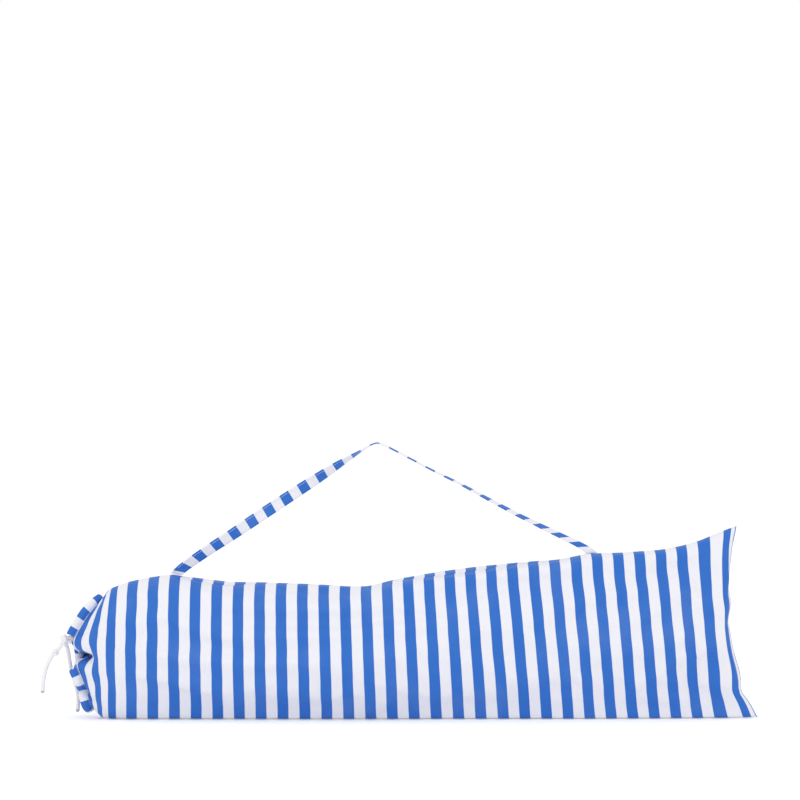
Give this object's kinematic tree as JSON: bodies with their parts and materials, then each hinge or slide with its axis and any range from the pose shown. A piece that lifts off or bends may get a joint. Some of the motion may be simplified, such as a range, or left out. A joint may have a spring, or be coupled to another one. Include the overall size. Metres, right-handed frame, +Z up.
{
  "type": "drawstring carry bag",
  "caption": "Long filled cloth carry bag with a drawstring mouth, a flat sewn end and a shoulder strap sewn into its top seam.",
  "frame": {"origin": "middle of the bag's length and depth, on the flat face it rests on", "axes": "+X along the bag from the gathered mouth to the sewn end, +Y from the front panel to the back panel, +Z up towards the strap"},
  "size_m": [1.3449, 0.2216, 0.5187],
  "materials": {
    "striped_cloth": "satin",
    "hem_cloth": "satin",
    "strap_cloth": "satin",
    "cord": "matte",
    "cord_tip": "satin",
    "thread": "satin"
  },
  "bodies": {
    "bag": {"front_panel": "striped_cloth", "back_panel": "striped_cloth", "mouth_hem": "hem_cloth", "hem_stitching": "thread", "strap_tacks": "thread", "hem_cord": "cord"},
    "strap": {"carry_strap": "strap_cloth", "strap_stitching": "thread"},
    "knot": {"exit_knot": "cord", "pull_strands": "cord"},
    "long_end": {"long_tail": "cord", "stopper_knot": "cord", "long_tail_tip": "cord_tip"},
    "short_end": {"short_tail": "cord", "short_tail_tip": "cord_tip"}
  },
  "joints": [
    {"name": "strap_swing", "type": "hinge", "parent": "bag", "child": "strap", "pos_m": [-0.441, 0, 0.2725], "axis": [0.9986, 0, 0.0538], "range_deg": [-78, 78]},
    {"name": "cord_pull", "type": "slide", "parent": "bag", "child": "knot", "axis": [-1, 0, 0], "range_m": [0, 0.045]},
    {"name": "long_tail_swing", "type": "hinge", "parent": "knot", "child": "long_end", "pos_m": [-0.657, -0.0115, 0.148], "axis": [0, 1, 0], "range_deg": [-20, 70]},
    {"name": "short_tail_swing", "type": "hinge", "parent": "knot", "child": "short_end", "pos_m": [-0.657, -0.0115, 0.148], "axis": [0, 1, 0], "range_deg": [0, 60]}
  ]
}
